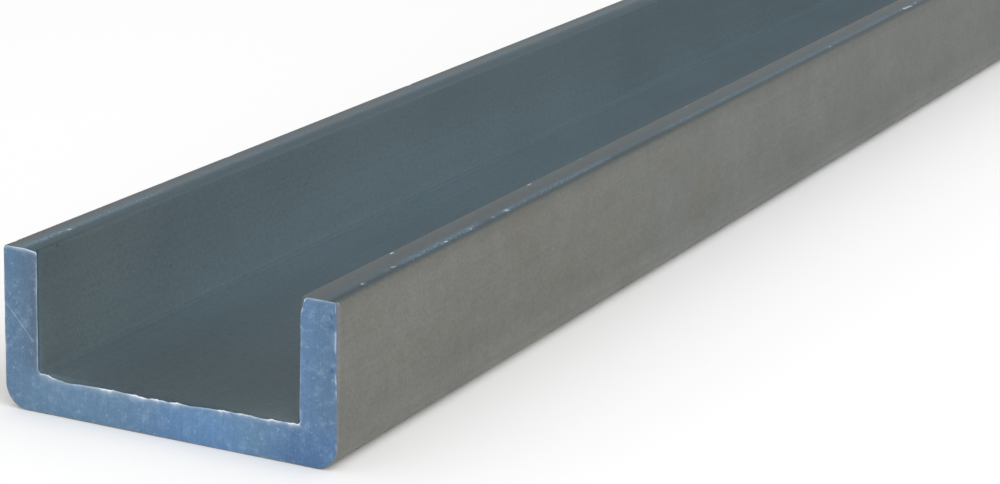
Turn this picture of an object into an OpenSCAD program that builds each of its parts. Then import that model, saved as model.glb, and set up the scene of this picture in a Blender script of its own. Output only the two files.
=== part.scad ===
// Aluminium U-channel, extruded in one piece and sawn square at both ends.
// Sizes are in millimetres. The channel lies on its web with its open side up: X runs across
// the section, Y along the bar and Z up. The origin is in the middle of the web's underside.

/* [Section] */
// Width over the outer faces of the two flanges
channel_width = 45; // [30:1:120]
// Height from the underside of the web to the flange tips
channel_height = 20; // [12:1:80]
// Thickness of each flange
flange_thickness = 5; // [2:0.5:10]
// Thickness of the web
web_thickness = 5; // [2:0.5:10]

/* [Bar] */
// Length between the two sawn ends
bar_length = 500; // [100:10:6000]

/* [Corners] */
// Radius of the two outer corners, where the web turns into the flanges
outer_corner_radius = 3; // [0.5:0.1:6]
// Radius of the two inner corners, where the floor of the channel meets the flanges
inner_corner_radius = 0.5; // [0.2:0.1:3]
// Radius of the long edges on the outer side of the flange tips
outer_tip_radius = 0.6; // [0.2:0.1:2]
// Radius of the long edges on the inner side of the flange tips
inner_tip_radius = 0.4; // [0.2:0.1:2]

/* [Hidden] */

// Colour of plain extruded aluminium, dulled by handling
mill_finish = [0.47, 0.48, 0.47];
// How far a cutting shape reaches past the metal, so that it leaves no skin
cut_margin = 1;
// Sides of a full circle where a corner is drawn
$fn = 96;

slot_width = channel_width - 2 * flange_thickness;
slot_depth = channel_height - web_thickness;

// A radius is limited by the wall that it rounds. Two radii that face each other across a
// flange tip or the slot each take less than half of it, so that a narrow flat is left.
facing_share = 0.45;
tip_limit = facing_share * flange_thickness;
slot_limit = facing_share * min(slot_width, slot_depth);
outer_corner = min(outer_corner_radius, flange_thickness, web_thickness);
outer_tip = min(outer_tip_radius, tip_limit);
inner_tip = min(inner_tip_radius, tip_limit, slot_limit);
inner_corner = min(inner_corner_radius, slot_limit);

// What is left of a corner outside its rounding. The corner is at the origin, the round's
// centre lies towards +X and +Y, and the shape reaches past both sides by the margin.
// It is cut away from an outward corner and filled into an inward one.
module corner_spandrel(radius) {
    difference() {
        translate([-cut_margin, -cut_margin])
            square(radius + cut_margin);
        translate([radius, radius])
            circle(r = radius);
    }
}

// Draws its child on the right of the section and mirrored on the left
module both_sides() {
    children();
    mirror([1, 0])
        children();
}

// The slot between the flanges, open at the top, with its floor corners filled
module slot_section() {
    difference() {
        translate([-slot_width / 2, web_thickness])
            square([slot_width, slot_depth + cut_margin]);
        both_sides()
            translate([slot_width / 2, web_thickness])
                mirror([1, 0])
                    corner_spandrel(inner_corner);
    }
}

// The whole section, seen along the bar, with the underside of the web on the X axis
module channel_section() {
    difference() {
        translate([-channel_width / 2, 0])
            square([channel_width, channel_height]);
        slot_section();
        both_sides() {
            translate([channel_width / 2, 0])
                mirror([1, 0])
                    corner_spandrel(outer_corner);
            translate([channel_width / 2, channel_height])
                rotate(180)
                    corner_spandrel(outer_tip);
            translate([slot_width / 2, channel_height])
                mirror([0, 1])
                    corner_spandrel(inner_tip);
        }
    }
}

// The section drawn out along the bar, centred on its length
module channel() {
    color(mill_finish)
        rotate([90, 0, 0])
            linear_extrude(height = bar_length, center = true)
                channel_section();
}

channel();
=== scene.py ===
"""A bar of extruded aluminium U-channel on a pale floor, seen from its sawn near end.

The bar is one closed mesh: the channel's section carried along the bar, with a sawn face at each
end. All lengths are in metres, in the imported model's own frame.
"""
import math
from typing import NamedTuple

import bpy
import numpy as np
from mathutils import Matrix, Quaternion, Vector


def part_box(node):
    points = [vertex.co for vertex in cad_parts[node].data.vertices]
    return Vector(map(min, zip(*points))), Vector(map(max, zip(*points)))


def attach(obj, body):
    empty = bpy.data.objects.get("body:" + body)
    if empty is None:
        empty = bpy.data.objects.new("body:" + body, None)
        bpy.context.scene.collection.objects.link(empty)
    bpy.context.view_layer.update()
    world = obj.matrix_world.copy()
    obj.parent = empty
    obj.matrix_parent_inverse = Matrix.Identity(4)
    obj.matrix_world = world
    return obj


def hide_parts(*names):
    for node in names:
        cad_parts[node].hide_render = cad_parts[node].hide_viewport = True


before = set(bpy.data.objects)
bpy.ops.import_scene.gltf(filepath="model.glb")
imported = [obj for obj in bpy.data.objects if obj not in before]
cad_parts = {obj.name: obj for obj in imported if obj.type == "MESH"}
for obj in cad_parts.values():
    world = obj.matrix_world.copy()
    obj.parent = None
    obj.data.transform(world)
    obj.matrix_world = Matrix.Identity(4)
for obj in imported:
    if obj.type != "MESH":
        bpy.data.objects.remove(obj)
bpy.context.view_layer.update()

MM = 0.001

# The section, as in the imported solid
BAR_LOW, BAR_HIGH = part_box("channel")
HALF_WIDTH = (BAR_HIGH.x - BAR_LOW.x) / 2
HALF_LENGTH = (BAR_HIGH.y - BAR_LOW.y) / 2
HEIGHT = BAR_HIGH.z - BAR_LOW.z
WALL = 5 * MM
OUTER_CORNER = 3 * MM
INNER_CORNER = 0.5 * MM
OUTER_TIP = 0.6 * MM
INNER_TIP = 0.4 * MM
HALF_SLOT = HALF_WIDTH - WALL

# How finely the section is drawn at the sawn ends
WEB_STEPS = 85
CORNER_SIDE_STEPS = 5
CORNER_ARC_STEPS = 14
FLANGE_STEPS = 48
TIP_ARC_STEPS = 6
TIP_FLAT_STEPS = 14
CORNER_STEPS = 2 * CORNER_SIDE_STEPS + CORNER_ARC_STEPS
# How much the flange's steps crowd towards its tip, where 1 is equal steps
TIP_CROWDING = 1.6
# How far below a tip the rows of a sawn face still follow its outline
TIP_FOLLOWED = 3 * MM
# Of the inner corner's points, the bar between its ends keeps one in so many, and beside each
# tip it keeps this many points of the flange
INNER_CORNER_KEPT = 4
TIP_SIDE_KEPT = 5

# Stations along the bar between the two ends: their number, and the share of equal steps in
# their spacing, which grows from the near end to the far one
STATIONS = 540
EQUAL_SHARE = 0.26
# Depth of the finely drawn collar behind each sawn face, and of the first station behind it
COLLAR_DEPTH = 1.2 * MM
SHAFT_DEPTH = 1.6 * MM
# Steps round the broken edge of a sawn face, and the depths behind it as shares of the collar
EDGE_STEPS = 5
COLLAR_SHARES = (0.12, 0.4, 1.0)
# Seeds of what is uneven at the two ends
NEAR_SEED = 11
FAR_SEED = 23

# The sawn faces: how far they lie inside the bar's length, so that the burr can reach it, how
# uneven they are and in what length, and the same for the radius to which the saw's edge was broken
SAW_INSET = 0.10 * MM
SAW_WANDER = 0.05 * MM
WANDER_GRAIN = 9 * MM
EDGE_BREAK = 0.09 * MM
EDGE_BREAK_SPREAD = 0.08 * MM
EDGE_GRAIN = 1.5 * MM
# How much wider it was broken at the top of the right flange's outer edge, at these places across
# the floor's edge, along the left flange's inner edge and in the right inner corner, and how ragged
# the floor's edge is and in what length
FLANGE_BREAK = 0.46 * MM
FLOOR_PLACES = np.array([-17.0, -16.0, -14.0, -10.0, -5.0, -2.5, 0.2, 4.4, 5.9, 10.2, 14.4, 17.0]) * MM
FLOOR_BREAKS = np.array([0.0, 0.26, 0.62, 0.42, 0.40, 0.56, 0.52, 0.36, 0.28, 0.20, 0.17, 0.0]) * MM
LEFT_WALL_BREAK = 0.30 * MM
INNER_CORNER_BREAK = 0.20 * MM
FLOOR_RAGGED = 0.14 * MM
FLOOR_GRAIN = 1.1 * MM
# How much the broken edge's rows crowd towards the face. Those from the face to this one are
# sawn metal, and the rest is skin
EDGE_CROWDING = 1.5
SAWN_ROWS = 1
# Where the inner tip corners were filed: how far the face's edge is pushed on the right and on
# the left, how far along the edge that reaches and how deep into the bar
FILED_PUSHES = ((0.62 * MM, -0.02 * MM), (-0.05 * MM, -0.36 * MM))
FILED_REACH = 2.0 * MM
FILED_DEPTH = 0.30 * MM
# The torn burr along the floor's edge: its height and lean, the length in which it is ragged, how
# soon it rises round the inner corners, and the places across the floor where it stands and shines
# most, with their reach
BURR_HEIGHT = 0.18 * MM
BURR_LEAN = 0.08 * MM
BURR_GRAIN = 0.30 * MM
BURR_RISE = 1.6
BURR_PLACES = np.array([-16.7, -8.2, -4.0, -1.1, 1.3, 7.3, 10.6, 14.0, 16.8]) * MM
BURR_REACH = 1.3 * MM
# Small dents in the near sawn face, beside the right flange's outer edge, and their size
SAW_DENTS = ((21.5 * MM, 18.2 * MM), (21.5 * MM, 17.0 * MM), (21.6 * MM, 11.9 * MM))
DENT_REACH = 0.36 * MM
DENT_DEPTH = 0.08 * MM
# How far the painted highlight along the edge of a sawn face fades into it, the lengths in which
# it is finely and broadly uneven, and the heights of its bright flecks, painted highlights too, on
# the right flange's outer and inner edge
RIM_REACH = 0.08 * MM
SPECKLE_GRAIN = 0.5 * MM
SHINE_GRAIN = 2 * MM
OUTER_FLECKS = np.array([19.6, 19.0, 16.2, 15.6, 15.0, 14.4, 11.2, 10.7, 9.3, 2.9]) * MM
INNER_FLECKS = np.array([19.6, 18.3]) * MM
FLECK_REACH = 0.35 * MM

# Knocks along the tip edges, right outer, right inner, left inner and left outer: places from the
# near end that were chosen, how many more are strewn along the bar, where those begin, how
# much they crowd towards the near end, and how deep they are beside the chosen ones
CHOSEN_KNOCKS = (
    np.array([8.0, 28.5, 35.0, 45.2, 198.4, 199.6, 200.8]) * MM,
    np.array([20.7, 58.0]) * MM,
    np.array([9.5]) * MM,
    np.array([2.0]) * MM,
)
STREWN_KNOCKS = (36, 20, 6, 24)
STREWN_FROM = 12 * MM
STREWN_CROWDING = 1.8
STREWN_SHARE = 0.7
# How far on round the section from the edge the knocks lie and how far they spread there, their
# depth, length and reach, how much longer they get for each metre from the near end, and a seed
KNOCK_SHIFT = np.array([1.35, -0.10, 2.2, 0.0]) * MM
KNOCK_SPREAD = 0.50 * MM
KNOCK_DEPTH = 0.13 * MM
KNOCK_LENGTH = 0.45 * MM
KNOCK_REACH = 0.30 * MM
KNOCK_GROWTH = 6
KNOCK_SEED = 31
# Runs of fine scuffs along the tips, drawn with painted glints: their tip edge, how far on round
# the section they lie, where they start and end, and how thick they are
SCUFF_GLINT_RUNS = (
    (0, 1.35 * MM, 18 * MM, 37 * MM, 0.9),
    (0, 1.35 * MM, 42 * MM, 75 * MM, 0.55),
    (0, 1.35 * MM, 95 * MM, 330 * MM, 0.40),
    (2, 2.15 * MM, 1 * MM, 11 * MM, 1.0),
    (2, 2.15 * MM, 11 * MM, 30 * MM, 0.55),
)
SCUFF_REACH = 0.45 * MM
SCUFF_FADE = 4 * MM

# The flat map on which the exported model's colours are painted, as shares of its width and height:
# its margin, the width of each collar, the height of the unrolled skin, where the two sawn faces
# start above it, and their size
MAP_MARGIN = 0.008
MAP_COLLAR = 0.014
MAP_SKIN = 0.66
MAP_FACE_STARTS = ((0.015, 0.70), (0.515, 0.70))
MAP_FACE_SIZE = np.array([0.47, 0.28])

# The photograph's camera: its place, target and roll, its lens and the width of its sensor
CAMERA_PLACE = Vector((0.17264, -0.52046, 0.11486))
CAMERA_TARGET = Vector((0.01137, -0.18659, 0.01))
CAMERA_ROLL = math.radians(1.64)
CAMERA_LENS_MM = 105.3
CAMERA_SENSOR_MM = 36.0


def straight(start, end, normal, steps, last=False, crowding=1.0):
    """Points of a straight run, as rows x, z, normal x, normal z.

    They are start + (end - start) * s, with s = 1 - (1 - k / steps) ** crowding. The end point is
    left to the next run unless last is set.
    """
    share = 1 - (1 - np.arange(steps + int(last))[:, None] / steps) ** crowding
    points = np.array(start) + (np.array(end) - np.array(start)) * share
    return np.hstack([points, np.broadcast_to(normal, points.shape)])


def arc(centre, radius, first_deg, last_deg, outward, steps, last=False):
    """Points of a round, centre + radius * (cos a, sin a) for equal steps of the angle a.

    The rows are x, z, normal x, normal z. outward is 1 where the metal is on the centre's side
    and -1 where the hollow is.
    """
    share = np.arange(steps + int(last)) / steps
    angle = np.radians(first_deg + (last_deg - first_deg) * share)
    spoke = np.stack([np.cos(angle), np.sin(angle)], axis=1)
    return np.hstack([np.array(centre) + radius * spoke, outward * spoke])


def mirrored(rows):
    """The same rows on the other side of the section: x and its normal change sign."""
    return rows * np.array([-1, 1, -1, 1])


def section_walls():
    """The wall of the U as a strip: matching rows of its outside, its inside and across one tip.

    The right half runs from the middle of the web round the corner and up the flange, in as many
    steps outside as inside, and the left half is its mirror image.
    """
    floor_turn = HALF_SLOT - INNER_CORNER
    wall_turn = WALL + INNER_CORNER
    down, up, right, left = (0, -1), (0, 1), (1, 0), (-1, 0)
    flange = {"steps": FLANGE_STEPS, "last": True, "crowding": TIP_CROWDING}
    outside = np.vstack([
        straight((0, 0), (floor_turn, 0), down, WEB_STEPS),
        straight((floor_turn, 0), (HALF_WIDTH - OUTER_CORNER, 0), down, CORNER_SIDE_STEPS),
        arc((HALF_WIDTH - OUTER_CORNER, OUTER_CORNER), OUTER_CORNER, -90, 0, 1, CORNER_ARC_STEPS),
        straight((HALF_WIDTH, OUTER_CORNER), (HALF_WIDTH, wall_turn), right, CORNER_SIDE_STEPS),
        straight((HALF_WIDTH, wall_turn), (HALF_WIDTH, HEIGHT - OUTER_TIP), right, **flange),
    ])
    inside = np.vstack([
        straight((0, WALL), (floor_turn, WALL), up, WEB_STEPS),
        arc((floor_turn, wall_turn), INNER_CORNER, -90, 0, -1, CORNER_STEPS),
        straight((HALF_SLOT, wall_turn), (HALF_SLOT, HEIGHT - INNER_TIP), left, **flange),
    ])
    tip = np.vstack([
        arc((HALF_WIDTH - OUTER_TIP, HEIGHT - OUTER_TIP), OUTER_TIP, 0, 90, 1, TIP_ARC_STEPS),
        straight((HALF_WIDTH - OUTER_TIP, HEIGHT), (HALF_SLOT + INNER_TIP, HEIGHT), up, TIP_FLAT_STEPS),
        arc((HALF_SLOT + INNER_TIP, HEIGHT - INNER_TIP), INNER_TIP, 90, 180, 1, TIP_ARC_STEPS, True),
    ])
    outside = np.vstack([mirrored(outside)[:0:-1], outside])
    inside = np.vstack([mirrored(inside)[:0:-1], inside])
    return outside, inside, tip


OUTSIDE, INSIDE, TIP = section_walls()
STRIP = len(OUTSIDE) - 1
ACROSS = len(TIP) - 1
# The closed outline: down the left flange, along the underside, up the right flange, over its
# tip, down into the channel, along the floor and up over the left tip
RING = np.vstack([OUTSIDE, TIP[1:-1], INSIDE[::-1], mirrored(TIP)[::-1][1:-1]])
RING_SIZE = len(RING)
RING_STEP = np.linalg.norm(np.roll(RING, -1, axis=0)[:, :2] - RING[:, :2], axis=1)
RING_PLACE = np.concatenate([[0], np.cumsum(RING_STEP)[:-1]])
# Of the ring, the points from the right flange's inner wall to the left one's
INSIDE_FIRST = STRIP + ACROSS
INSIDE_LAST = 2 * STRIP + ACROSS


def strip_to_ring():
    """For each place on the sawn face's grid the ring point on its border, or -1 inside.

    The grid's first axis runs along the strip, and its second from the outside to the inside.
    """
    grid = np.full((STRIP + 1, ACROSS + 1), -1)
    along = np.arange(STRIP + 1)
    between = np.arange(1, ACROSS)
    grid[:, 0] = along
    grid[:, -1] = INSIDE_LAST - along
    grid[-1, 1:-1] = STRIP + between
    grid[0, 1:-1] = INSIDE_LAST + ACROSS - between
    return grid


FACE_GRID = strip_to_ring()


def ring_zone():
    """Where each ring point lies round the section.

    It is -1 on the underside, -1 to 0 round the outer corner, 0 on the outer faces, 0 to 1 by its
    share of the way over a flange tip, 1 on the inner walls, and 1 to 2 round the inner corner on
    to the floor.
    """
    way = np.concatenate([[0], np.cumsum(np.linalg.norm(np.diff(TIP[:, :2], axis=0), axis=1))])
    over_tip = (way / way[-1])[1:-1]
    underside = np.clip(OUTSIDE[:, 3], -1, 0)
    floor = 1 + np.clip(INSIDE[::-1, 3], 0, 1)
    return np.concatenate([underside, over_tip, floor, over_tip[::-1]])


def ring_kept():
    """Which ring points go on along the bar.

    They are those of the rounds, thinned in the inner corners, and the straight runs' points beside
    them.
    """
    web_end = WEB_STEPS
    corner_end = web_end + CORNER_STEPS
    arc_start, arc_end = web_end + CORNER_SIDE_STEPS, corner_end - CORNER_SIDE_STEPS
    half = np.zeros(STRIP // 2 + 1, bool)
    outside, inside = half.copy(), half.copy()
    outside[arc_start - 1:arc_end + 2] = True
    outside[-TIP_SIDE_KEPT:] = True
    inside[web_end:corner_end + 1:INNER_CORNER_KEPT] = True
    inside[[web_end - 1, corner_end + 1]] = True
    inside[-TIP_SIDE_KEPT:] = True
    tip = np.ones(ACROSS - 1, bool)
    outside = np.concatenate([outside[:0:-1], outside])
    inside = np.concatenate([inside[:0:-1], inside])
    return np.flatnonzero(np.concatenate([outside, tip, inside[::-1], tip]))


KEPT = ring_kept()


def uneven(place, grain, seed):
    """Seeded random heights from 0 to 1 at every grain of length, joined by straight lines."""
    spots = place / grain
    heights = np.random.default_rng(seed).random(int(np.ceil(spots.max() - spots.min())) + 3)
    return np.interp(spots - spots.min(), np.arange(len(heights)), heights)


def bump_at(place, centre, reach):
    """A bell of height 1 at the centre, exp(-((place - centre) / reach) ** 2)."""
    return np.exp(-((place - centre) / reach) ** 2)


def tip_edge_places():
    """Ring places of the four long tip edges: right outer, right inner, left inner and left outer."""
    middle = TIP_ARC_STEPS // 2
    right = [STRIP + middle, INSIDE_FIRST - middle]
    left = [INSIDE_LAST + middle, INSIDE_LAST + ACROSS - middle]
    return RING_PLACE[right + left]


TIP_EDGES = tip_edge_places()


def knocks(ring_place, depth_along):
    """How far the tip edges are knocked in, at ring places and depths behind the near end.

    Each knock is a bell along the edge times a bell round it, with its own place, length, reach
    and depth. The strewn ones crowd towards the near end and are shallow more often than deep.
    """
    total = np.zeros(np.broadcast_shapes(ring_place.shape, depth_along.shape))
    edges = zip(TIP_EDGES + KNOCK_SHIFT, CHOSEN_KNOCKS, STREWN_KNOCKS)
    for edge, (centre, chosen, count) in enumerate(edges):
        draw = np.random.default_rng(KNOCK_SEED + edge)
        strewn = STREWN_FROM + (2 * HALF_LENGTH - STREWN_FROM) * draw.random(count) ** STREWN_CROWDING
        place = np.concatenate([chosen, strewn])
        length = KNOCK_LENGTH * (0.4 + draw.random(place.size) + KNOCK_GROWTH * place)
        reach = KNOCK_REACH * (0.6 + 0.8 * draw.random(place.size))
        centres = centre + KNOCK_SPREAD * (draw.random(place.size) - 0.5)
        deep = STREWN_SHARE * KNOCK_DEPTH * draw.random(place.size) ** 2
        deep[:chosen.size] = KNOCK_DEPTH * (0.7 + 0.3 * draw.random(chosen.size))
        along = bump_at(depth_along[..., None], place, length)
        around = bump_at(ring_place[..., None], centres, reach)
        total = total + (deep * (along * around)).sum(axis=-1)
    return total


def scuffs(ring_place, depth_along):
    """How thick the fine scuffs, drawn with painted glints, lie on the tips, at ring places and depths
    behind the near end.

    Each run is a bell round the section times a rise at its start and a fall at its end.
    """
    total = np.zeros(np.broadcast_shapes(ring_place.shape, depth_along.shape))
    for edge, shift, start, end, thick in SCUFF_GLINT_RUNS:
        begun = np.clip((depth_along - start) / SCUFF_FADE + 0.5, 0, 1)
        left = np.clip((end - depth_along) / SCUFF_FADE + 0.5, 0, 1)
        across = bump_at(ring_place, TIP_EDGES[edge] + shift, SCUFF_REACH)
        total = np.maximum(total, thick * begun * left * across)
    return total


def filed_push():
    """How far each ring point of a sawn face moves where the inner tip corners were filed: x and z.

    It is the corner's push times 1 - distance / reach, and 0 beyond the reach.
    """
    shares = [np.clip(1 - np.abs(RING_PLACE - TIP_EDGES[edge]) / FILED_REACH, 0, 1) for edge in (1, 2)]
    return sum(share[:, None] * np.array(push) for share, push in zip(shares, FILED_PUSHES))


def burr_spots(x):
    """How much of its height and shine the burr has across the floor: the highest bell of its places."""
    return bump_at(x[:, None], BURR_PLACES, BURR_REACH).max(axis=1)


def dents(x, z):
    """How deep the small dents of the sawn face are at x and z, from 0 to 1: a round bell at each."""
    return sum(
        bump_at(x, dent_x, DENT_REACH) * bump_at(z, dent_z, DENT_REACH)
        for dent_x, dent_z in SAW_DENTS
    )


def rim_highlight(seed):
    """How bright the painted highlight on the saw's broken edge is round the outline: 0 is dull, 1 is
    bright, more is whiter.

    It is bright along the floor, along the left flange's inner edge and over the tips, has a few
    flecks on the right flange's edges, and is dull along the underside.
    """
    x, z, normal_x, normal_z = RING.T
    speckle = uneven(RING_PLACE, SPECKLE_GRAIN, seed)
    flecks = speckle ** 4
    broad = uneven(RING_PLACE, SHINE_GRAIN, seed + 1)
    left_inside = (x < 0) & (normal_x > 0.7)
    right_inside = (x > 0) & (normal_x < -0.3)
    right_outside = (x > HALF_SLOT) & (normal_x > 0.3)
    over_tip = (normal_z > 0.3) & (z > HEIGHT - OUTER_TIP)
    on_floor = (normal_z > 0.75) & (z < HEIGHT / 2)
    underside = normal_z < -0.7
    outer = bump_at(z[:, None], OUTER_FLECKS, FLECK_REACH).max(axis=1)
    inner = bump_at(z[:, None], INNER_FLECKS, FLECK_REACH).max(axis=1)
    shine = 0.05 + 0.6 * flecks + 0.1 * broad
    shine = np.where(right_outside, 0.1 * flecks + 0.8 * outer, shine)
    shine = np.where(right_inside, np.maximum(shine, inner), shine)
    shine = np.where(left_inside, 0.2 + 0.35 * broad + 0.3 * flecks, shine)
    shine = np.where(over_tip, np.where(x < 0, 0.9, 0.45) + 0.3 * broad, shine)
    shine = np.where(on_floor, 0.25 + burr_spots(x) * (0.2 + 1.1 * speckle) + 0.3 * broad, shine)
    return np.clip(np.where(underside, 0.4 * shine, shine), 0, 1.6)


def edge_shade(rows):
    """How much the skin beside the saw's broken edge is shaded, from 0 to 1, in rows behind a face.

    It is along the left flange's inner edge, over the left tip, up the right flange's outer edge
    and, fainter, along the floor, and falls in a straight line from the sawn rows to the last row
    of the broken edge.
    """
    x, z, normal_x, normal_z = RING.T
    left_inside = (x < 0) & (normal_x > 0.9)
    left_tip = (x < 0) & (normal_z > 0.3) & (z > HEIGHT / 2)
    right_outside = (x > HALF_SLOT) & (normal_x > 0.3)
    on_floor = (normal_z > 0.3) & (z < HEIGHT / 2)
    fade = np.clip((EDGE_STEPS - np.arange(rows)) / (EDGE_STEPS - SAWN_ROWS), 0, 1)
    return fade[:, None] * np.where(on_floor, 0.3, left_inside | left_tip | right_outside)


def edge_break(seed):
    """The radius of the saw's broken edge round the outline.

    It wanders, and it grows in a straight line up the right flange's outer edge. Along the floor it
    is ragged and goes in straight lines from place to place. It is wider along the left flange's
    inner edge, and in the right inner corner by sin 2a, most in the middle of the corner's round.
    """
    x, z, normal_x, normal_z = RING.T
    radius = EDGE_BREAK + EDGE_BREAK_SPREAD * (uneven(RING_PLACE, EDGE_GRAIN, seed) - 0.5)
    up_flange = np.clip(normal_x, 0, 1) * (x > HALF_SLOT) * np.clip(z / HEIGHT, 0, 1)
    on_floor = np.clip(normal_z, 0, 1) * (z < HEIGHT / 2)
    on_left_wall = np.clip(normal_x, 0, 1) * (x < 0)
    torn = np.interp(x, FLOOR_PLACES, FLOOR_BREAKS)
    ragged = uneven(RING_PLACE, FLOOR_GRAIN, seed + 5)
    return (
        radius
        + FLANGE_BREAK * up_flange
        + (torn + FLOOR_RAGGED * ragged) * on_floor
        + LEFT_WALL_BREAK * on_left_wall
        + INNER_CORNER_BREAK * 2 * np.clip(-normal_x, 0, 1) * on_floor
    )


def from_near_end(side, depth):
    """Depths behind the near end, of depths behind the near end (side -1) or the far one (side 1)."""
    return depth if side < 0 else 2 * HALF_LENGTH - depth


def sawn_end(side, seed):
    """One end: collar rows of x, z and depth behind the end plane, the sawn face's grid and the burr.

    Round the face the saw's edge is broken by a quarter round, radius * (1 - sin a) in from the
    outline and radius * (1 - cos a) behind the face, and the inner tip corners were filed. Along
    the channel's floor a torn burr stands up from the edge. Rows run from the face into the bar.
    """
    x, z, normal_x, normal_z = RING.T
    radius = edge_break(seed)
    push = filed_push()
    filed = np.linalg.norm(push, axis=1) / np.linalg.norm(FILED_PUSHES, axis=1).max()
    on_floor = np.clip(BURR_RISE * normal_z, 0, 1) * (z < HEIGHT / 2)
    ragged = 0.25 + 0.75 * uneven(RING_PLACE, BURR_GRAIN, seed + 1) ** 1.5
    burr = BURR_HEIGHT * (0.15 + 0.85 * burr_spots(x)) * ragged * on_floor
    angle = math.pi / 2 * np.linspace(0, 1, EDGE_STEPS + 1)[:, None] ** EDGE_CROWDING
    inset = radius * (1 - np.sin(angle))
    pushed = np.broadcast_to(1 - np.sin(angle), inset.shape)
    depth = (radius + FILED_DEPTH * filed) * (1 - np.cos(angle))
    lift = burr * np.cos(angle)
    lean = BURR_LEAN * burr / BURR_HEIGHT * np.cos(angle)
    shares = np.array(COLLAR_SHARES)[:, None]
    behind = np.zeros((len(shares), RING_SIZE))
    inset = np.vstack([inset, behind])
    pushed = np.vstack([pushed, behind])
    lift = np.vstack([lift, behind])
    depth = np.vstack([depth - lean, depth[-1] + (COLLAR_DEPTH - depth[-1]) * shares])
    wander = SAW_WANDER * (uneven(RING_PLACE, WANDER_GRAIN, seed + 3) - 0.5) * (1 - depth / COLLAR_DEPTH)
    depth = depth + (SAW_INSET + wander) * (1 - depth / COLLAR_DEPTH)
    offset = -inset - knocks(RING_PLACE, from_near_end(side, depth))
    collar = np.stack([
        x + normal_x * offset + push[:, 0] * pushed,
        z + normal_z * offset + push[:, 1] * pushed + lift,
        depth,
    ], axis=-1)
    return collar, sawn_face(collar[0][FACE_GRID]), burr


def sawn_face(border):
    """The sawn face's grid, filled in between its border.

    Each row runs straight from the outside to the inside, and near a tip it takes on the share of
    that tip's outline that is left: outline - straight, times 1 - distance / followed.
    """
    share = ((HALF_WIDTH - TIP[:, 0]) / WALL)[None, :, None]
    rows = border[:, :1] * (1 - share) + border[:, -1:] * share
    face = rows.copy()
    for tip in (0, -1):
        way = np.linalg.norm(border[:, 0] - border[tip, 0], axis=-1)
        follow = np.clip(1 - way / TIP_FOLLOWED, 0, 1)[:, None, None]
        face += (border[tip] - rows[tip]) * follow
    return face


def face_rim(face, shine):
    """The painted highlight's fade from the edge into the sawn face: the border's shine times
    exp(-distance / reach).

    The reach grows with the shine, from half the named one to nearly three times it. Of the four
    borders, outside, inside and the two tips, the one that shines most here counts.
    """
    inner = face[1:-1, 1:-1]
    shines = shine[FACE_GRID]
    reach = RIM_REACH * (0.5 + 1.5 * shines)
    sides = ((slice(1, -1), slice(0, 1)), (slice(1, -1), slice(-1, None)))
    tips = ((slice(0, 1), slice(1, -1)), (slice(-1, None), slice(1, -1)))
    fades = [
        shines[side] * np.exp(-np.linalg.norm(inner - face[side], axis=-1) / reach[side])
        for side in sides + tips
    ]
    return np.max(fades, axis=0)


def quads(ids):
    """The four-sided faces of a grid of vertex numbers, wound from its first axis to its second."""
    return np.stack([ids[:-1, :-1], ids[1:, :-1], ids[1:, 1:], ids[:-1, 1:]], axis=-1).reshape(-1, 4)


def closed_round(ids):
    """A grid of vertex numbers whose second axis goes round and meets its own start."""
    return np.hstack([ids, ids[:, :1]])


def stitches(fine, coarse):
    """Faces between a fine ring and the coarse one behind it.

    There is one for each coarse step, with all the fine points on its near side.
    """
    faces = []
    for step, (first, last) in enumerate(zip(KEPT, np.roll(KEPT, -1))):
        span = np.arange(first, last + 1 if last > first else last + 1 + RING_SIZE) % RING_SIZE
        ahead = (step + 1) % len(KEPT)
        faces.append([coarse[step], coarse[ahead], *fine[span[::-1]]])
    return faces


# The material numbers of the bar's faces
OUTER_FACE, INNER_FACE, SAWN_FACE = 0, 1, 2


def face_sides(ring_points):
    """The material number of each step round a ring of the given points.

    The channel's inside goes on over the inner round of the left tip.
    """
    first, last = ring_points, np.roll(ring_points, -1)
    inside = (first >= INSIDE_FIRST) & (last <= INSIDE_LAST + TIP_ARC_STEPS) & (last > first)
    return np.where(inside, INNER_FACE, OUTER_FACE)


def edge_faces(rows):
    """The material numbers of the rows of faces behind a sawn face, from its edge into the bar."""
    slots = np.tile(face_sides(np.arange(RING_SIZE)), (rows, 1))
    slots[:SAWN_ROWS] = SAWN_FACE
    return slots


def unrolled(along, rows):
    """Places on the unrolled skin: the share of the way along the bar, and of the way round it.

    There is one for each of the given ring points in each row of the given shares.
    """
    turn = RING_PLACE[rows] / (RING_PLACE[-1] + RING_STEP[-1])
    return np.stack(np.broadcast_arrays(along, turn), axis=-1).reshape(-1, 2)


def flat_map(points, faces, layout, skin):
    """The flat map's place of each corner of each face.

    The skin lies unrolled, the bar's length across and the way round it upwards. A face that closes
    the round has its far corners at a whole turn. Each sawn face, which the layout numbers, lies
    above the skin as it is, x across and z upwards.
    """
    sizes = np.array([len(face) for face in faces])
    owner = np.repeat(np.arange(len(faces)), sizes)
    corner = np.concatenate(faces)
    along, turn = skin[corner].T
    furthest = np.maximum.reduceat(turn, np.cumsum(sizes) - sizes)[owner]
    turn = turn + ((furthest > 0.75) & (turn < 0.25))
    place = np.stack([along, MAP_MARGIN + MAP_SKIN * turn], axis=1)
    share = points[corner][:, [0, 2]] / (2 * HALF_WIDTH, HEIGHT) + (0.5, 0)
    for number, start in enumerate(MAP_FACE_STARTS, 1):
        on_face = (layout[owner] == number)[:, None]
        place = np.where(on_face, start + share * MAP_FACE_SIZE, place)
    return place


class Stretch(NamedTuple):
    """A stretch of the bar's mesh.

    Its points have the values that the materials read and places on the unrolled skin. Its faces
    have material numbers and, in the layout, the number of the sawn face that they lie on, or 0.
    """

    points: np.ndarray
    values: dict
    skin: np.ndarray
    faces: list
    slots: list
    layout: list


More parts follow.
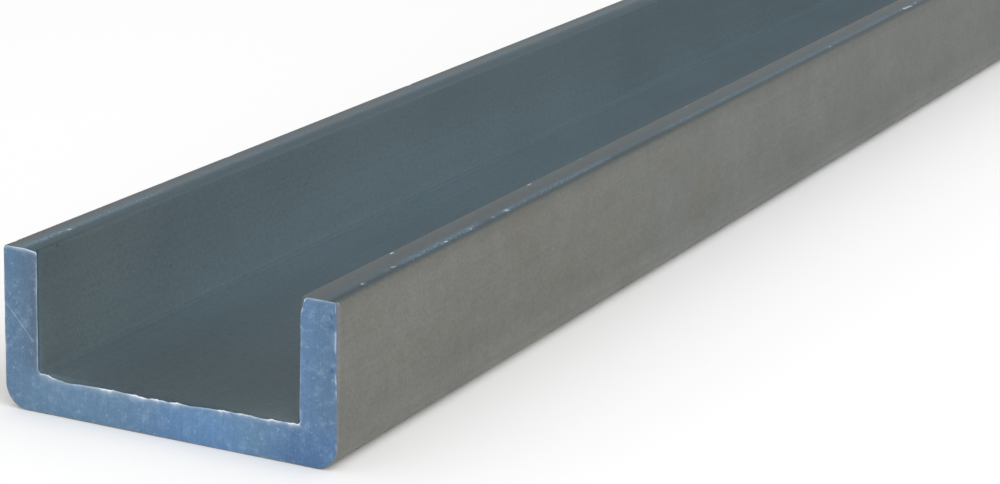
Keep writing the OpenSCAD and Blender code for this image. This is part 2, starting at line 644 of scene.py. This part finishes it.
def shaft():
    """The bar between its finely drawn ends, and the grid of its vertex numbers.

    The kept ring points stand at each station, pushed in by the knocks. The stations' share of the
    way is equal * s + (1 - equal) * s ** 2 for equal steps of s.
    """
    x, z, normal_x, normal_z = RING[KEPT].T
    share = np.linspace(0, 1, STATIONS)
    share = EQUAL_SHARE * share + (1 - EQUAL_SHARE) * share ** 2
    depth = SHAFT_DEPTH + (2 * HALF_LENGTH - 2 * SHAFT_DEPTH) * share[:, None]
    knocked = knocks(RING_PLACE[KEPT], depth)
    points = np.stack([
        x - normal_x * knocked,
        np.broadcast_to(depth - HALF_LENGTH, knocked.shape),
        z - normal_z * knocked,
    ], axis=-1)
    values = {
        "zone": np.tile(ring_zone()[KEPT], STATIONS),
        "worn": knocked.ravel() / KNOCK_DEPTH,
        "scuff_glint": scuffs(RING_PLACE[KEPT], depth).ravel(),
    }
    values |= dict.fromkeys(("burr", "rim", "shade", "dent"), np.zeros(knocked.size))
    start = MAP_MARGIN + MAP_COLLAR
    skin = unrolled(start + (1 - 2 * start) * depth / (2 * HALF_LENGTH), KEPT)
    ids = np.arange(knocked.size).reshape(knocked.shape)
    faces = quads(closed_round(ids)).tolist()
    slots = face_sides(KEPT).tolist() * (STATIONS - 1)
    return Stretch(points.reshape(-1, 3), values, skin, faces, slots, [0] * len(faces)), ids


def end_values(side, seed, collar, face, burr, dent):
    """The values that the materials read, on an end's collar rows and then inside its sawn face."""
    rows = len(collar)
    at_edge = np.arange(rows)[:, None] <= SAWN_ROWS
    depth_along = from_near_end(side, collar[..., 2])
    shine = rim_highlight(seed + 4)
    on_collar = {
        "zone": np.tile(ring_zone(), rows),
        "worn": knocks(RING_PLACE, depth_along) / KNOCK_DEPTH,
        "scuff_glint": scuffs(RING_PLACE, depth_along),
        "burr": np.where(at_edge, burr / BURR_HEIGHT, 0),
        "rim": np.where(at_edge, shine, 0),
        "shade": edge_shade(rows),
        "dent": np.zeros(rows * RING_SIZE),
    }
    on_face = {"rim": face_rim(face, shine), "dent": dent}
    none = np.zeros(dent.shape)
    return {
        name: np.concatenate([value.ravel(), on_face.get(name, none).ravel()])
        for name, value in on_collar.items()
    }


def bar_end(side, seed, coarse, first):
    """One sawn end with its collar, stitched to the shaft's coarse ring.

    Its vertices are numbered from first on. The near end is side -1 and has dents, and the far one
    is side 1, with its faces wound the other way.
    """
    collar, face, burr = sawn_end(side, seed)
    rows = len(collar)
    inner = face[1:-1, 1:-1].copy()
    dent = dents(inner[..., 0], inner[..., 1]) * (side < 0)
    inner[..., 2] += DENT_DEPTH * dent
    x, z, depth = np.vstack([collar.reshape(-1, 3), inner.reshape(-1, 3)]).T
    points = np.stack([x, side * (HALF_LENGTH - depth), z], axis=1)
    values = end_values(side, seed, collar, face, burr, dent)
    from_end = MAP_MARGIN + MAP_COLLAR * np.arange(rows)[:, None] / rows
    collar_skin = unrolled(from_end if side < 0 else 1 - from_end, np.arange(RING_SIZE))
    skin = np.vstack([collar_skin, np.zeros((dent.size, 2))])
    ids = first + np.arange(len(points))
    ring_ids = ids[:rows * RING_SIZE].reshape(rows, RING_SIZE)
    face_ids = ring_ids[0][FACE_GRID]
    face_ids[1:-1, 1:-1] = ids[rows * RING_SIZE:].reshape(dent.shape)
    sawn = quads(face_ids).tolist()
    behind = quads(closed_round(ring_ids)).tolist() + stitches(ring_ids[-1], coarse)
    turn = slice(None, None, -side)
    faces = [corners[turn] for corners in sawn + behind]
    slots = [SAWN_FACE] * len(sawn) + edge_faces(rows - 1).ravel().tolist() + face_sides(KEPT).tolist()
    layout = [1 if side < 0 else 2] * len(sawn) + [0] * len(behind)
    return Stretch(points, values, skin, faces, slots, layout)


def bar_mesh():
    """The bar as points, faces, the faces' material numbers, the points' values and the flat map."""
    middle, ids = shaft()
    near = bar_end(-1, NEAR_SEED, ids[0], len(middle.points))
    far = bar_end(1, FAR_SEED, ids[-1], len(middle.points) + len(near.points))
    stretches = (middle, near, far)
    points = np.vstack([stretch.points for stretch in stretches])
    values = {name: np.concatenate([stretch.values[name] for stretch in stretches]) for name in near.values}
    skin = np.vstack([stretch.skin for stretch in stretches])
    faces = middle.faces + near.faces + far.faces
    slots = middle.slots + near.slots + far.slots
    layout = np.array(middle.layout + near.layout + far.layout)
    return points, faces, slots, values, flat_map(points, faces, layout, skin)


def channel_bar(materials):
    """The bar's object, with its materials and the values that they read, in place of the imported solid."""
    points, faces, slots, values, places = bar_mesh()
    mesh = bpy.data.meshes.new("channel_bar")
    mesh.from_pydata(points.tolist(), [], faces)
    mesh.uv_layers.new(name="OFBake").data.foreach_set("uv", places.astype(np.float32).ravel())
    mesh.polygons.foreach_set("use_smooth", np.ones(len(faces), bool))
    mesh.polygons.foreach_set("material_index", np.array(slots, np.int32))
    for name, value in values.items():
        mesh.attributes.new(name, "FLOAT", "POINT").data.foreach_set("value", value.astype(np.float32))
    for material in materials:
        mesh.materials.append(material)
    mesh.update()
    bar = bpy.data.objects.new("channel_bar", mesh)
    bpy.context.scene.collection.objects.link(bar)
    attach(bar, "root")
    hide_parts("channel")
    return bar


def srgb(red, green, blue):
    """A colour written as it shows on a screen, 0 to 255, as the linear colour that a shader takes."""
    share = np.array([red, green, blue]) / 255
    linear = np.where(share <= 0.04045, share / 12.92, ((share + 0.055) / 1.055) ** 2.4)
    return (*linear.tolist(), 1.0)


# Sockets of a Mix node that blends colours: its share, its two colours and its result
MIX_SHARE, MIX_FIRST, MIX_SECOND, MIX_RESULT = 0, 6, 7, 2


class Finish:
    """A material in the making. Each call adds one or two nodes and gives back their output."""

    def __init__(self, name, metallic, edge_tint):
        self.material = bpy.data.materials.new(name)
        self.material.use_nodes = True
        self.tree = self.material.node_tree
        self.shader = self.tree.nodes["Principled BSDF"]
        self.shader.inputs["Metallic"].default_value = metallic
        self.shader.inputs["Specular Tint"].default_value = (edge_tint, edge_tint, edge_tint, 1.0)
        self.place = self.node("ShaderNodeTexCoord", "Object", {})

    def node(self, kind, output, inputs, **settings):
        """Adds a node, gives it its settings, and fills its inputs with values or other outputs."""
        made = self.tree.nodes.new(kind)
        for name, value in settings.items():
            setattr(made, name, value)
        for name, value in inputs.items():
            if isinstance(value, bpy.types.NodeSocket):
                self.tree.links.new(value, made.inputs[name])
            else:
                made.inputs[name].default_value = value
        return made.outputs[output]

    def value(self, name):
        """A value that the mesh carries."""
        return self.node("ShaderNodeAttribute", "Fac", {}, attribute_name=name)

    def axis(self, name):
        """The place along the X, Y or Z axis."""
        return self.node("ShaderNodeSeparateXYZ", name, {"Vector": self.place})

    def from_middle(self):
        """The distance from the middle of the bar's length."""
        return self.maths("ABSOLUTE", self.axis("Y"), 0.0)

    def noise(self, grain, detail=2.0, rough=0.5, stretch=(1, 1, 1), shift=0.0):
        """Soft random values about 0.5, in spots of the grain's size.

        They are drawn out along each axis by its stretch, and another shift gives another pattern.
        """
        scale = [1 / (grain * longer) for longer in stretch]
        inputs = {"Vector": self.place, "Location": (shift, shift, shift), "Scale": scale}
        place = self.node("ShaderNodeMapping", "Vector", inputs)
        return self.node("ShaderNodeTexNoise", 0, {
            "Vector": place, "Scale": 1.0, "Detail": detail, "Roughness": rough,
        })

    def maths(self, operation, first, second):
        """A sum, product or the like of two values."""
        return self.node("ShaderNodeMath", 0, {0: first, 1: second}, operation=operation)

    def times(self, first, second):
        """The product of two values."""
        return self.maths("MULTIPLY", first, second)

    def vector(self, operation, output, first, second):
        """A difference, dot product or the like of two vectors."""
        return self.node("ShaderNodeVectorMath", output, {0: first, 1: second}, operation=operation)

    def laid_over(self, value, low, high, bottom, top, **settings):
        """The value's range from low to high laid over bottom to top."""
        inputs = {"Value": value, "From Min": low, "From Max": high, "To Min": bottom, "To Max": top}
        return self.node("ShaderNodeMapRange", 0, inputs, **settings)

    def rise(self, value, low, high, bottom=0.0, top=1.0):
        """A smooth rise from bottom to top while the value goes from low to high."""
        return self.laid_over(value, low, high, bottom, top, interpolation_type="SMOOTHSTEP")

    def level(self, value, bottom, top, low=0.0, high=1.0):
        """A straight rise from bottom to top, from 0 to 1 unless low and high say else, and beyond."""
        return self.laid_over(value, low, high, bottom, top, clamp=False)

    def bands(self, value, stops):
        """A colour for each value from 0 to 1, blended between stops of value and colour."""
        output = self.node("ShaderNodeValToRGB", "Color", {"Fac": value})
        ramp = output.node.color_ramp.elements
        ramp.remove(ramp[1])
        ramp[0].position, ramp[0].color = stops[0]
        for place, colour in stops[1:]:
            ramp.new(place).color = colour
        return output

    def toned(self, colour, pattern, depth):
        """The colour times 1 + depth * (pattern - 0.5)."""
        factor = self.level(pattern, 1 - depth / 2, 1 + depth / 2)
        return self.node("ShaderNodeVectorMath", 0, {0: colour, "Scale": factor}, operation="SCALE")

    def blend(self, share, first, second, way="MIX"):
        """The first colour, going over to the second by a share from 0 to 1, in a Mix node's way."""
        inputs = {MIX_SHARE: share, MIX_FIRST: first, MIX_SECOND: second}
        return self.node("ShaderNodeMix", MIX_RESULT, inputs, data_type="RGBA", blend_type=way)

    def tinted(self, share, colour, tint):
        """The colour, going over to its product with a tint by a share from 0 to 1."""
        return self.blend(share, colour, tint, "MULTIPLY")

    def bumped(self, pattern, depth, below=None):
        """Surface relief from a pattern, this deep from its 0 to its 1, on top of other relief."""
        inputs = {"Height": pattern, "Distance": depth, "Strength": 1.0}
        if below is not None:
            inputs["Normal"] = below
        return self.node("ShaderNodeBump", "Normal", inputs)

    def done(self, colour, roughness, normal):
        """Joins the outputs to the shader and gives back the material."""
        for name, output in (("Base Color", colour), ("Roughness", roughness), ("Normal", normal)):
            self.tree.links.new(output, self.shader.inputs[name])
        return self.material


OUTER_GREY = srgb(131, 132, 127)
COOL_GREY = srgb(130, 134, 133)
STAIN_BROWN = srgb(126, 117, 102)
# Bluish scuffs on the tips, with painted glints
SCUFF_GLINT_BLUE = srgb(150, 182, 204)
SPECK_DARK = srgb(40, 44, 48)
# Bright bare metal, with painted glints in the knocks, on the burr and along the sawn edges
BRIGHT_METAL_AND_GLINT = srgb(206, 222, 236)
# The whitest painted highlight on the sawn edges and the burr
BURR_HIGHLIGHT_WHITE = srgb(246, 247, 252)
# Colours over the right and the left flange tip, by the share of the way from the outer face to
# the inner wall. Their dark bands are painted shade where the edges round over, their bluish bands
# are painted highlights, and the left tip's slate inner part is painted shade like the inside's
RIGHT_TIP = (
    (0.00, OUTER_GREY),
    (0.14, srgb(97, 104, 102)),
    (0.20, srgb(78, 92, 98)),
    (0.25, srgb(78, 92, 98)),
    (0.37, srgb(98, 113, 121)),
    (0.60, srgb(103, 110, 113)),
    (1.00, srgb(110, 117, 119)),
)
LEFT_TIP = (
    (0.00, OUTER_GREY),
    (0.06, srgb(80, 84, 84)),
    (0.14, srgb(104, 109, 110)),
    (0.26, srgb(110, 118, 121)),
    (0.51, srgb(110, 125, 134)),
    (0.66, srgb(84, 103, 112)),
    (0.88, srgb(77, 96, 103)),
)
# Colours of the inside, from the left tip's inner round down the wall and round the corner to the
# floor, and the zones at which they start and end. The slate is painted shade, and the walls are
# painted paler than the floor to offset their own shade
SLATE_ZONES = (0.88, 2.0)
INSIDE_SLATE = (
    (0.00, srgb(83, 99, 105)),
    (0.06, srgb(92, 108, 115)),
    (0.107, srgb(119, 136, 143)),
    (0.41, srgb(104, 121, 128)),
    (0.553, srgb(91, 106, 113)),
    (0.82, srgb(86, 102, 108)),
    (1.00, srgb(98, 115, 123)),
)
# What the inside's colour is multiplied by at the bar's ends, where its painted shade is less blue
END_TINT = (1.0, 0.975, 0.94, 1.0)
# Skin in the shade of a broken edge: outside on the right and on the left, and inside
RIGHT_SHADE = srgb(116, 126, 142)
LEFT_SHADE = srgb(84, 103, 124)
INNER_SHADE = srgb(40, 68, 86)


def right_half(finish):
    """1 on the right half of the bar and 0 on the left one."""
    return finish.rise(finish.axis("X"), -1 * MM, 1 * MM)


def outer_colour(finish, zone, die_lines, clouds):
    """The outside's colour from place to place, with painted light and shade in it.

    The tips have bands along the bar: dark ones of painted shade where their edges round over, and
    bluish ones of painted highlight. The outer faces are warm grey, cooler near the middle of the
    bar's length, darker just below the tips, and paler at their foot and round the outer corners,
    which is painted light against the shade of the floor there. Die lines, soft clouds and blotches
    lie over all of it.
    """
    blotches = finish.noise(2.2 * MM, 3, 0.6, shift=9.0)
    height = finish.axis("Z")
    on_face = finish.rise(zone, 0.0, 0.1, 1.0, 0.0)
    # Tip bands: painted shade where the edges round over, and painted bluish highlights
    colour = finish.blend(right_half(finish), finish.bands(zone, LEFT_TIP), finish.bands(zone, RIGHT_TIP))
    cooler = finish.rise(finish.from_middle(), 120 * MM, 200 * MM, 0.6, 0.0)
    colour = finish.blend(finish.times(cooler, on_face), colour, COOL_GREY)
    colour = finish.toned(colour, die_lines, 0.14)
    colour = finish.toned(colour, clouds, 0.30)
    colour = finish.toned(colour, blotches, 0.20)
    # Painted light: paler at the foot of the outer faces, against the shade of the floor there
    colour = finish.toned(colour, finish.rise(height, 2 * MM, 6 * MM, 1.0, 0.5), 0.32)
    below_tip = finish.rise(height, HEIGHT - 2 * MM, HEIGHT - OUTER_TIP, 0.0, -0.3)
    below_tip = finish.times(below_tip, on_face)
    colour = finish.toned(colour, finish.level(below_tip, 0.5, 1.5), 0.30)
    # Painted light: paler on the underside and round the outer corners, against the shade of the floor there
    return finish.toned(colour, finish.rise(zone, -0.8, 0.0, 1.0, 0.5), 0.65)


def mill_outside():
    """The extruded outer faces and tips, dulled by handling.

    Over their colour, with painted light and shade in it, lie brown stains, which are strongest at
    the sawn ends, shade beside the saw's broken edge, a fine grain, bluish scuffs with painted glints
    along the tips and bright bare metal with painted glints in the knocks.
    """
    finish = Finish("mill_outside", 1.0, 0.6)
    zone = finish.value("zone")
    die_lines = finish.noise(0.5 * MM, 3, 0.5, (1, 150, 1))
    clouds = finish.noise(17 * MM, 4, 0.6)
    grain = finish.noise(0.4 * MM, 2)
    mottle = finish.noise(7 * MM, 5, 0.68, (1, 2, 1), shift=3.0)
    scuff_glint_pattern = finish.noise(0.26 * MM, 4, 0.75, (1, 1.5, 1), shift=6.0)
    fine = finish.noise(0.32 * MM, 1, shift=6.0)
    colour = outer_colour(finish, zone, die_lines, clouds)
    at_ends = finish.rise(finish.from_middle(), HALF_LENGTH - 2 * MM, HALF_LENGTH - 0.4 * MM, 0.0, 0.12)
    stains = finish.maths("ADD", finish.rise(mottle, 0.50, 0.72, 0.0, 0.28), at_ends)
    stains = finish.times(stains, finish.rise(zone, 0.0, 0.2, 1.0, 0.15))
    colour = finish.blend(stains, colour, STAIN_BROWN)
    shade = finish.blend(right_half(finish), LEFT_SHADE, RIGHT_SHADE)
    colour = finish.blend(finish.level(finish.value("shade"), 0.0, 0.9), colour, shade)
    colour = finish.toned(colour, grain, 0.45)
    # Scuffs along the tips, drawn as painted bluish glints
    scuff_glint_share = finish.times(finish.value("scuff_glint"), finish.rise(scuff_glint_pattern, 0.47, 0.64, 0.0, 1.2))
    colour = finish.blend(scuff_glint_share, colour, SCUFF_GLINT_BLUE)
    # Bare metal with painted glints in the knocks
    knocked = finish.times(finish.value("worn"), finish.rise(fine, 0.35, 0.65, 0.6, 1.5))
    colour = finish.blend(finish.rise(knocked, 0.2, 0.9), colour, BRIGHT_METAL_AND_GLINT)
    roughness = finish.level(clouds, 0.30, 0.58)
    relief = finish.bumped(die_lines, 0.010 * MM)
    relief = finish.bumped(grain, 0.012 * MM, relief)
    return finish.done(colour, roughness, relief)


def inner_colour(finish, die_lines, clouds):
    """The inside's colour from place to place, much of it painted light and shade.

    It is slate, painted shade of the channel's inside, painted paler in the corners against the
    shade there, a little darker in the middle of the bar's length, and darker towards its ends, most
    of all in the middle of the floor and at the walls' very ends, where it is less blue too; this
    darkening is painted shade as well. Faint die lines and clouds lie over it.
    """
    zone = finish.value("zone")
    along = finish.from_middle()
    across = finish.maths("ABSOLUTE", finish.axis("X"), 0.0)
    # Slate bands of painted shade, the walls painted paler than the floor
    colour = finish.bands(finish.level(zone, 0.0, 1.0, *SLATE_ZONES), INSIDE_SLATE)
    low_down = finish.rise(finish.axis("Z"), WALL + 0.5 * MM, HEIGHT, 1.0, 0.0)
    aside = finish.rise(across, HALF_SLOT - 9 * MM, HALF_SLOT)
    # Painted light: paler in the corners, against the shade that falls there
    colour = finish.toned(colour, finish.times(low_down, aside), 0.28)
    colour = finish.toned(colour, die_lines, 0.14)
    colour = finish.toned(colour, clouds, 0.20)
    # Painted shade: darker towards the ends, most in the middle of the floor
    at_end = finish.rise(along, HALF_LENGTH - 75 * MM, HALF_LENGTH)
    end_shade = finish.times(at_end, finish.rise(across, 4 * MM, 13 * MM, -0.5, -0.27))
    colour = finish.toned(colour, finish.level(end_shade, 0.5, 1.5), 0.52)
    # Painted shade at the walls' very ends
    wall_end_shade = finish.rise(along, HALF_LENGTH - 15 * MM, HALF_LENGTH, 0.0, -0.5)
    wall_end_shade = finish.times(wall_end_shade, finish.rise(zone, 1.0, 1.5, 1.0, 0.0))
    colour = finish.toned(colour, finish.level(wall_end_shade, 0.5, 1.5), 0.36)
    # Painted shade: a little darker in the middle of the bar's length
    colour = finish.toned(colour, finish.rise(along, 0.0, 150 * MM, 0.0, 0.5), 0.16)
    # The ends' painted shade is less blue
    very_end = finish.rise(along, HALF_LENGTH - 40 * MM, HALF_LENGTH - 8 * MM)
    return finish.tinted(very_end, colour, END_TINT)


def mill_inside():
    """The inside of the channel: even dull slate of painted shade, with a fine grain.

    It has a few dark specks and fewer pale ones, shade beside the saw's broken edge, and bright bare
    metal with painted highlights in the knocks and on the burr.
    """
    finish = Finish("mill_inside", 0.3, 0.6)
    finish.shader.inputs["Specular IOR Level"].default_value = 0.2
    die_lines = finish.noise(0.7 * MM, 3, 0.5, (1, 150, 1), shift=5.0)
    clouds = finish.noise(22 * MM, 4, 0.6, shift=5.0)
    grain = finish.noise(0.4 * MM, 2, shift=5.0)
    spots = finish.noise(1.0 * MM, 1, shift=13.0)
    colour = finish.toned(inner_colour(finish, die_lines, clouds), grain, 0.44)
    colour = finish.blend(finish.rise(spots, 0.81, 0.84, 0.0, 0.8), colour, SPECK_DARK)
    colour = finish.blend(finish.rise(spots, 0.13, 0.16, 0.4, 0.0), colour, BRIGHT_METAL_AND_GLINT)
    colour = finish.blend(finish.level(finish.value("shade"), 0.0, 0.9), colour, INNER_SHADE)
    # Bare metal with painted highlights in the knocks and on the burr
    bare_and_glint = finish.maths("ADD", finish.value("worn"), finish.value("burr"))
    colour = finish.blend(finish.rise(bare_and_glint, 0.25, 0.9), colour, BRIGHT_METAL_AND_GLINT)
    roughness = finish.level(clouds, 0.50, 0.76)
    relief = finish.bumped(die_lines, 0.008 * MM)
    relief = finish.bumped(grain, 0.012 * MM, relief)
    return finish.done(colour, roughness, relief)


# A scratch across the left flange of the near sawn face: where it starts and ends, its width, and
# the length in which it sets in and fades out
SCRATCH_START = Vector((-22.2 * MM, 12.8 * MM))
SCRATCH_END = Vector((-18.3 * MM, 8.5 * MM))
SCRATCH_WIDTH = 0.09 * MM
SCRATCH_FADE = 0.3 * MM


def scratch(finish):
    """1 on the scratch and 0 beside it: near its line, between its two ends, and only on the near face."""
    way = (SCRATCH_END - SCRATCH_START).normalized()
    offset = finish.vector("SUBTRACT", "Vector", finish.place, (SCRATCH_START.x, 0.0, SCRATCH_START.y))
    beside = finish.vector("DOT_PRODUCT", "Value", offset, (-way.y, 0.0, way.x))
    along = finish.vector("DOT_PRODUCT", "Value", offset, (way.x, 0.0, way.y))
    line = finish.rise(finish.maths("ABSOLUTE", beside, 0.0), 0.3 * SCRATCH_WIDTH, SCRATCH_WIDTH, 1.0, 0.0)
    started = finish.rise(along, 0.0, SCRATCH_FADE)
    long = (SCRATCH_END - SCRATCH_START).length
    ended = finish.rise(along, long - SCRATCH_FADE, long, 1.0, 0.0)
    near_face = finish.rise(finish.axis("Y"), -0.5 * HALF_LENGTH, -0.4 * HALF_LENGTH, 1.0, 0.0)
    stretch = finish.times(started, ended)
    return finish.times(finish.times(line, stretch), near_face)


# Colours of the sawn faces from the left to the right, on the two flanges and on the web, by the
# share of the bar's width. Their steel blue is painted bluish light on the grey metal
SAWN_FLANGES = (
    (0.02, srgb(101, 129, 157)),
    (0.06, srgb(100, 126, 151)),
    (0.10, srgb(96, 115, 135)),
    (0.89, srgb(102, 132, 168)),
    (0.96, srgb(97, 125, 155)),
)
SAWN_WEB = (
    (0.02, srgb(104, 132, 160)),
    (0.12, srgb(112, 142, 169)),
    (0.36, srgb(112, 142, 170)),
    (0.50, srgb(107, 141, 178)),
    (0.66, srgb(108, 145, 184)),
    (0.76, srgb(113, 145, 175)),
    (0.88, srgb(96, 127, 164)),
)
SAWN_PALE = srgb(162, 185, 205)
# Painted shade in the dents of the near sawn face
DENT_SHADE_BLUE = srgb(70, 93, 138)


def sawn_colour(finish):
    """The sawn metal's colour from place to place, much of it painted light.

    It is steel blue, a painted bluish light on the grey metal, bluer right of the web's middle and on
    the inner side of the right flange, and greyer on the inner side of the left flange. The left
    half of the web is paler just below the floor's edge.
    """
    across, height = finish.axis("X"), finish.axis("Z")
    unevenly = finish.level(finish.noise(6 * MM, 3, 0.55, shift=2.0), -4 * MM, 4 * MM)
    # Bands of steel blue, painted bluish light on the grey metal
    flanges = finish.bands(finish.level(across, 0.0, 1.0, -HALF_WIDTH, HALF_WIDTH), SAWN_FLANGES)
    shifted = finish.maths("ADD", across, unevenly)
    web = finish.bands(finish.level(shifted, 0.0, 1.0, -HALF_WIDTH, HALF_WIDTH), SAWN_WEB)
    colour = finish.blend(finish.rise(height, WALL - 2 * MM, WALL + 2 * MM, 1.0, 0.0), flanges, web)
    # Paler just below the floor's edge on the web's left half
    worn = finish.rise(height, WALL - 1.6 * MM, WALL - 0.3 * MM)
    worn = finish.times(worn, finish.rise(across, -5 * MM, 5 * MM, 0.42, 0.04))
    worn = finish.times(worn, finish.rise(across, -HALF_SLOT - 1 * MM, -HALF_SLOT + 1 * MM))
    return finish.blend(worn, colour, SAWN_PALE)


def sawn_metal():
    """The sawn ends: steel blue of painted bluish light, with fine saw lines, pale scuffs, flecks, one
    long scratch, painted shade in the dents and a painted highlight along the broken edge.
    """
    finish = Finish("sawn_metal", 1.0, 0.6)
    saw_lines = finish.noise(0.35 * MM, 3, 0.55, (1, 1, 22))
    mottle = finish.noise(1.2 * MM, 6, 0.74)
    grain = finish.noise(0.24 * MM, 2, shift=4.0)
    colour = sawn_colour(finish)
    colour = finish.blend(finish.rise(mottle, 0.48, 0.76, 0.0, 0.34), colour, SAWN_PALE)
    colour = finish.toned(colour, mottle, 0.36)
    colour = finish.toned(colour, saw_lines, 0.26)
    colour = finish.toned(colour, grain, 0.40)
    flecks = finish.rise(finish.noise(0.5 * MM, 2, shift=7.0), 0.62, 0.82, 0.0, 0.35)
    colour = finish.blend(flecks, colour, BRIGHT_METAL_AND_GLINT)
    # Painted shade in the dents
    colour = finish.blend(finish.rise(finish.value("dent"), 0.2, 0.9, 0.0, 0.6), colour, DENT_SHADE_BLUE)
    # Painted highlight along the broken edge and on the burr; the scratch shows bright too
    bright = finish.times(finish.value("rim"), finish.rise(mottle, 0.3, 0.6, 0.65, 1.0))
    bright = finish.maths("MAXIMUM", bright, finish.rise(finish.value("burr"), 0.1, 0.5))
    scratched = finish.times(scratch(finish), finish.rise(mottle, 0.35, 0.65, 0.08, 0.40))
    bright = finish.maths("MAXIMUM", bright, scratched)
    colour = finish.blend(bright, colour, BRIGHT_METAL_AND_GLINT)
    # Painted highlight, whitest where the edge shines most
    colour = finish.blend(finish.rise(finish.value("rim"), 0.7, 1.3), colour, BURR_HIGHLIGHT_WHITE)
    roughness = finish.level(mottle, 0.30, 0.60)
    relief = finish.bumped(saw_lines, 0.020 * MM)
    relief = finish.bumped(grain, 0.012 * MM, relief)
    return finish.done(colour, roughness, relief)


def photo_camera():
    """A camera at the photograph's place, turned to its target and rolled about its own axis."""
    data = bpy.data.cameras.new("photo_camera")
    data.lens = CAMERA_LENS_MM
    data.sensor_width = CAMERA_SENSOR_MM
    camera = bpy.data.objects.new("photo_camera", data)
    aim = (CAMERA_TARGET - CAMERA_PLACE).to_track_quat("-Z", "Y")
    camera.location = CAMERA_PLACE
    camera.rotation_mode = "QUATERNION"
    camera.rotation_quaternion = aim @ Quaternion((0, 0, 1), CAMERA_ROLL)
    bpy.context.scene.collection.objects.link(camera)
    bpy.context.scene.camera = camera


# The floor: how far it lies under the bar, half its width, its colour and its roughness
FLOOR_GAP = 0.05 * MM
FLOOR_HALF = 6.0
FLOOR_WHITE = (0.97, 0.97, 0.97, 1.0)
FLOOR_ROUGHNESS = 0.9


def pale_floor():
    """A wide flat floor just under the bar."""
    material = bpy.data.materials.new("floor_white")
    material.use_nodes = True
    shader = material.node_tree.nodes["Principled BSDF"]
    shader.inputs["Base Color"].default_value = FLOOR_WHITE
    shader.inputs["Roughness"].default_value = FLOOR_ROUGHNESS
    shader.inputs["Specular IOR Level"].default_value = 0.0
    mesh = bpy.data.meshes.new("floor")
    corners = [(-1, -1), (1, -1), (1, 1), (-1, 1)]
    mesh.from_pydata([(x * FLOOR_HALF, y * FLOOR_HALF, -FLOOR_GAP) for x, y in corners], [], [(0, 1, 2, 3)])
    mesh.materials.append(material)
    floor = bpy.data.objects.new("floor", mesh)
    bpy.context.scene.collection.objects.link(floor)


# How bright the white room is as a light on matt surfaces, and the lamp above: its place, the
# width of its square and its watts
ROOM_LIGHT = 0.85
LAMP_PLACE = Vector((0.75, -0.60, 1.0))
LAMP_WIDTH = 1.1
LAMP_WATTS = 6.0


def soft_light():
    """A white room that the camera and reflections see at full white, and one broad lamp above."""
    world = bpy.data.worlds.new("white_room")
    bpy.context.scene.world = world
    world.use_nodes = True
    tree = world.node_tree
    rays = tree.nodes.new("ShaderNodeLightPath").outputs
    seen = rays["Is Camera Ray"]
    for ray in ("Is Glossy Ray", "Is Transmission Ray"):
        either = tree.nodes.new("ShaderNodeMath")
        either.operation = "MAXIMUM"
        tree.links.new(seen, either.inputs[0])
        tree.links.new(rays[ray], either.inputs[1])
        seen = either.outputs[0]
    strength = tree.nodes.new("ShaderNodeMapRange")
    strength.inputs["To Min"].default_value = ROOM_LIGHT
    tree.links.new(seen, strength.inputs["Value"])
    background = tree.nodes["Background"]
    background.inputs["Color"].default_value = (1, 1, 1, 1)
    tree.links.new(strength.outputs[0], background.inputs["Strength"])
    data = bpy.data.lights.new("soft_lamp", "AREA")
    data.size = LAMP_WIDTH
    data.energy = LAMP_WATTS
    lamp = bpy.data.objects.new("soft_lamp", data)
    lamp.location = LAMP_PLACE
    lamp.rotation_euler = (-LAMP_PLACE).to_track_quat("-Z", "Y").to_euler()
    bpy.context.scene.collection.objects.link(lamp)


photo_camera()
channel_bar([mill_outside(), mill_inside(), sawn_metal()])
pale_floor()
soft_light()
bpy.context.scene.view_settings.view_transform = "Standard"
